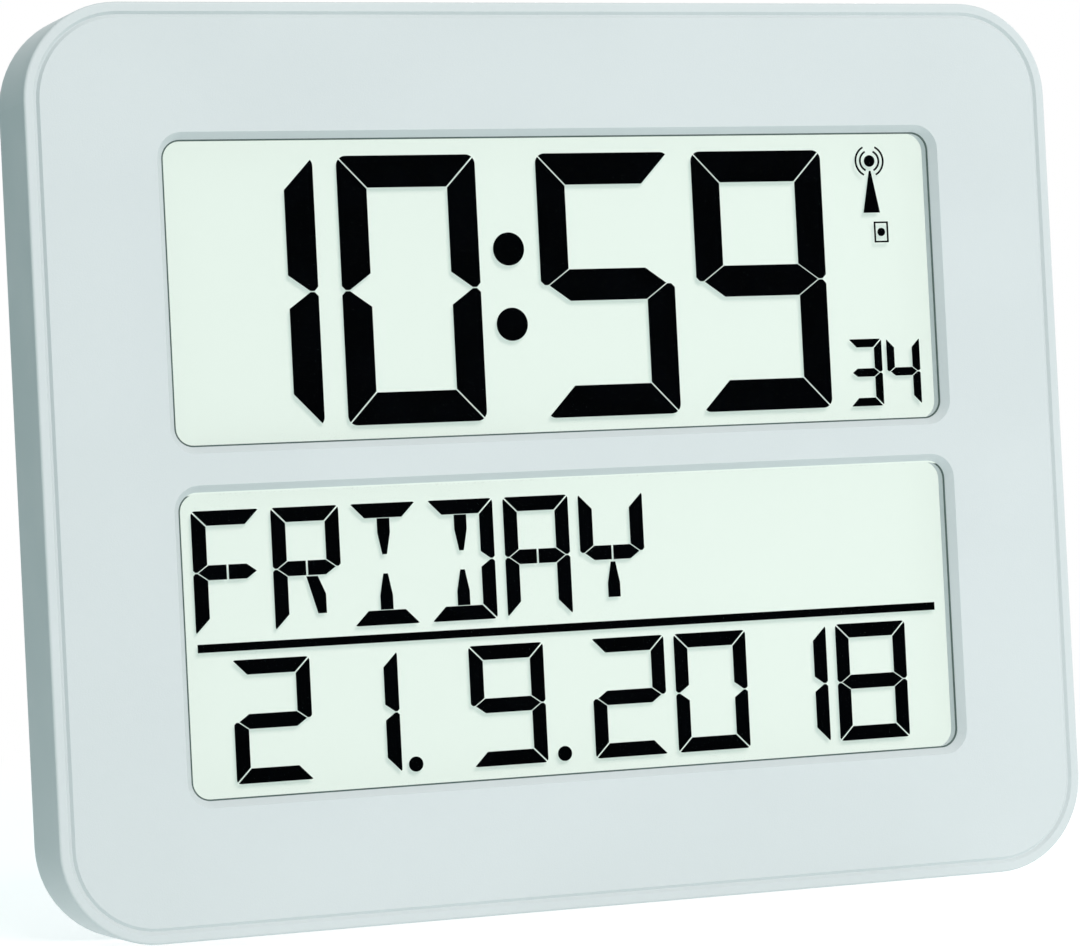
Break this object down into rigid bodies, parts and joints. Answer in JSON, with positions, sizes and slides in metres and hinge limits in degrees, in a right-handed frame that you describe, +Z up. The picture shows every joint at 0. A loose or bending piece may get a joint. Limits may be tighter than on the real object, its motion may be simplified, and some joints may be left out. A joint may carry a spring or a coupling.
{
  "type": "digital day clock",
  "caption": "Large free-standing or wall-hung digital clock with two stacked display windows for time and for weekday and date, fold-out stand, rear keys and battery cover",
  "frame": {"origin": "middle of the footprint on the surface the clock stands on", "axes": "+X to the viewer's right, the face looks towards -Y, +Z up"},
  "size_m": [0.258, 0.028, 0.212],
  "materials": {
    "housing_plastic": "fine satin, very pale cool grey",
    "seal_rubber": "dark grey seal",
    "clear_lens": "clear polished acrylic",
    "display_glass": "clear thin glass",
    "reflector_film": "pale green-white reflector film",
    "cell_sealant": "milky resin",
    "lit_segment": "near black, as a driven segment looks",
    "contact_rubber": "layered elastomer",
    "holder_plastic": "white moulding",
    "circuit_board": "green solder mask",
    "chip_resin": "black resin drop",
    "crystal_can": "tinned can",
    "capacitor_sleeve": "shrunk sleeve",
    "ceramic_part": "ceramic",
    "switch_plastic": "black switch case",
    "plunger_plastic": "black plunger",
    "button_plastic": "mid grey keys",
    "screw_steel": "zinc-plated screw",
    "ferrite": "dark sintered ferrite",
    "copper_winding": "lacquered copper winding",
    "lead_grey": "grey insulation",
    "lead_red": "red insulation",
    "lead_black": "black insulation",
    "contact_nickel": "nickel-plated spring steel",
    "battery_jacket": "plain wrapped cell, weighs about 23 g"
  },
  "bodies": {
    "clock": {"antenna_coil": "copper_winding", "antenna_leads": "lead_grey", "battery_bridge_contact": "contact_nickel", "battery_flat_contact": "contact_nickel", "battery_lead_black": "lead_black", "battery_lead_red": "lead_red", "battery_spring_contact": "contact_nickel", "board_screws": "screw_steel", "capacitors": "capacitor_sleeve", "chip_domes": "chip_resin", "date_contact_strip": "contact_rubber", "date_display_front_glass": "display_glass", "date_display_rear_glass": "display_glass", "date_display_reflector": "reflector_film", "date_segments": "lit_segment", "date_window_lens": "clear_lens", "date_window_seal": "seal_rubber", "display_edge_seals": "cell_sealant", "display_holder": "holder_plastic", "ferrite_rod": "ferrite", "front_housing": "housing_plastic", "holder_screws": "screw_steel", "housing_screws": "screw_steel", "lower_battery": "battery_jacket", "main_board": "circuit_board", "quartz_crystal": "crystal_can", "rear_housing": "housing_plastic", "receiver_board": "circuit_board", "receiver_chip_dome": "chip_resin", "receiver_leads": "lead_grey", "small_parts": "ceramic_part", "status_icons": "lit_segment", "switch_bodies": "switch_plastic", "time_contact_strip": "contact_rubber", "time_display_front_glass": "display_glass", "time_display_rear_glass": "display_glass", "time_display_reflector": "reflector_film", "time_segments": "lit_segment", "time_window_lens": "clear_lens", "time_window_seal": "seal_rubber", "upper_battery": "battery_jacket", "weekday_segments": "lit_segment"},
    "set_button": {"set_button": "button_plastic", "set_switch_plunger": "plunger_plastic"},
    "up_button": {"up_button": "button_plastic", "up_switch_plunger": "plunger_plastic"},
    "down_button": {"down_button": "button_plastic", "down_switch_plunger": "plunger_plastic"},
    "signal_button": {"signal_button": "button_plastic", "signal_switch_plunger": "plunger_plastic"},
    "reset_button": {"reset_button": "button_plastic", "reset_switch_plunger": "plunger_plastic"},
    "battery_cover": {"battery_cover": "housing_plastic"},
    "table_stand": {"table_stand": "housing_plastic"}
  },
  "joints": [
    {"name": "set_button_press", "type": "slide", "parent": "clock", "child": "set_button", "axis": [0, -1, 0], "range_m": [0, 0.0005], "stiffness_N_per_m": 1500},
    {"name": "up_button_press", "type": "slide", "parent": "clock", "child": "up_button", "axis": [0, -1, 0], "range_m": [0, 0.0005], "stiffness_N_per_m": 1500},
    {"name": "down_button_press", "type": "slide", "parent": "clock", "child": "down_button", "axis": [0, -1, 0], "range_m": [0, 0.0005], "stiffness_N_per_m": 1500},
    {"name": "signal_button_press", "type": "slide", "parent": "clock", "child": "signal_button", "axis": [0, -1, 0], "range_m": [0, 0.0005], "stiffness_N_per_m": 1500},
    {"name": "reset_button_press", "type": "slide", "parent": "clock", "child": "reset_button", "axis": [0, -1, 0], "range_m": [0, 0.0005], "stiffness_N_per_m": 1500},
    {"name": "battery_cover_tilt", "type": "hinge", "parent": "clock", "child": "battery_cover", "pos_m": [0.03515, 0.014, 0.0893], "axis": [-1, 0, 0], "range_deg": [0, 75]},
    {"name": "table_stand_fold", "type": "hinge", "parent": "clock", "child": "table_stand", "pos_m": [0, 0.012, 0.0115], "axis": [-1, 0, 0], "range_deg": [0, 90]}
  ]
}
